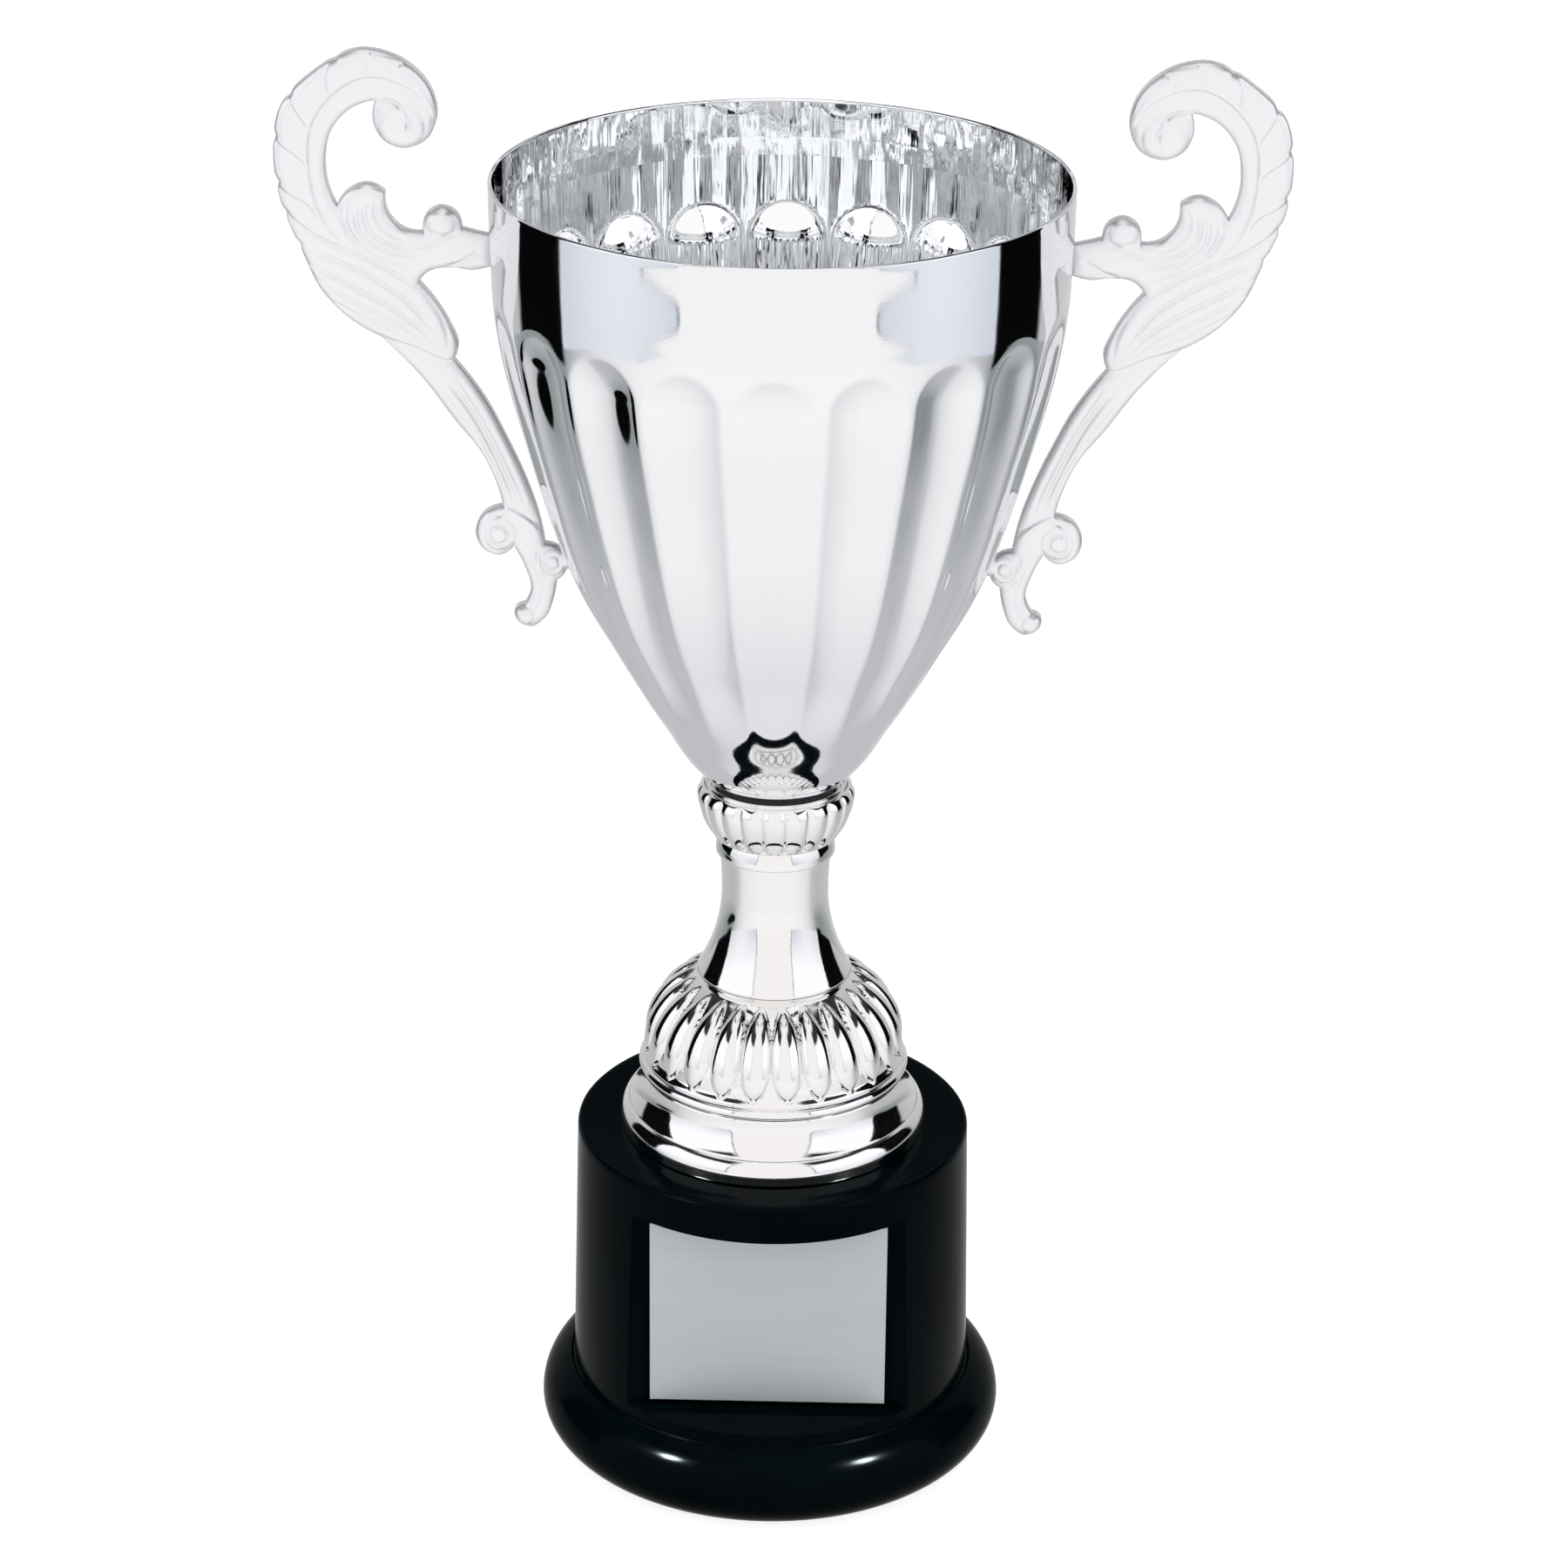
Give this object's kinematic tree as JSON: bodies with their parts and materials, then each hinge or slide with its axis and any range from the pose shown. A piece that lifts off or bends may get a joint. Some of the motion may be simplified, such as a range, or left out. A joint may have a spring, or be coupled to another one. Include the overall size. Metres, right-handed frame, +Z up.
{
  "type": "cup trophy",
  "caption": "Free-standing award: fluted metal bowl with scroll handles, clamped by a rod on a turned stem and a weighted round base with a blank name plate.",
  "frame": {"origin": "centre of the round base, on the surface it stands on", "axes": "+Z up along the tie rod, +X to the right handle, +Y to the back; the name plate faces -Y"},
  "size_m": [0.1788, 0.1036, 0.2736],
  "materials": {
    "bowl": "mirror plated sheet metal",
    "handle": "satin silver metallised moulding",
    "stem": "bright metallised moulding",
    "base": "polished black",
    "plate": "fine horizontal brushing",
    "tape": "foam tape",
    "steel": "zinc plated",
    "gasket": "matt",
    "weight": "as cast",
    "cover": "moulded",
    "felt": "pressed felt"
  },
  "bodies": {
    "root": {"bowl": "bowl", "left_handle": "handle", "right_handle": "handle", "stem_knob": "stem", "stem_neck": "stem", "stem_dome": "stem", "base_shell": "base", "name_plate": "plate", "plate_adhesive": "tape", "tie_rod": "steel", "bowl_nut": "steel", "bowl_lock_washer": "steel", "bowl_washer": "steel", "bowl_gasket": "gasket", "handle_screws": "steel", "handle_washers": "steel", "base_washer": "steel", "base_lock_washer": "steel", "base_nut": "steel", "base_weight": "weight", "base_cover": "cover", "cover_screws": "steel", "felt_pad": "felt"}
  },
  "joints": []
}
